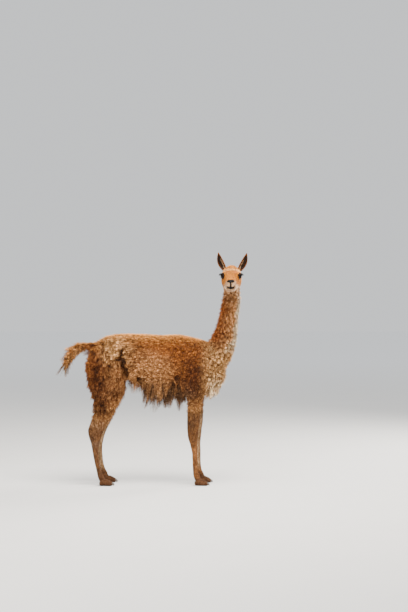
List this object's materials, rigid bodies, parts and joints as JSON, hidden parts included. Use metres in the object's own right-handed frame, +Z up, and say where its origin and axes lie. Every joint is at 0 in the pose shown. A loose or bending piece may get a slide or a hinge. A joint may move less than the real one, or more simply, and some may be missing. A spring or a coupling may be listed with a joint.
{
  "type": "vicuna",
  "caption": "Life-size vicuna standing square on its own feet, head turned to its right to look at the viewer.",
  "frame": {"origin": "centre of the bounding box's bottom face, on the floor between the feet", "axes": "+X from tail to breast, +Y towards the animal's left side, +Z up"},
  "size_m": [1.15, 0.3506, 1.4128],
  "materials": {
    "coat": "dense fleece, tan and cream",
    "eye": "wet black-brown",
    "nail": "dull horn",
    "foot": "short dark hair and worn pads"
  },
  "bodies": {
    "root": {"torso": "coat", "neck": "coat", "head": "coat", "ear_right": "coat", "ear_left": "coat", "eye_right": "eye", "eye_left": "eye", "tail": "coat", "foreleg_right": "coat", "forefoot_right": "foot", "forefoot_right_nail_right": "nail", "forefoot_right_nail_left": "nail", "foreleg_left": "coat", "forefoot_left": "foot", "forefoot_left_nail_right": "nail", "forefoot_left_nail_left": "nail", "hindleg_right": "coat", "hindfoot_right": "foot", "hindfoot_right_nail_right": "nail", "hindfoot_right_nail_left": "nail", "hindleg_left": "coat", "hindfoot_left": "foot", "hindfoot_left_nail_right": "nail", "hindfoot_left_nail_left": "nail"}
  },
  "joints": []
}
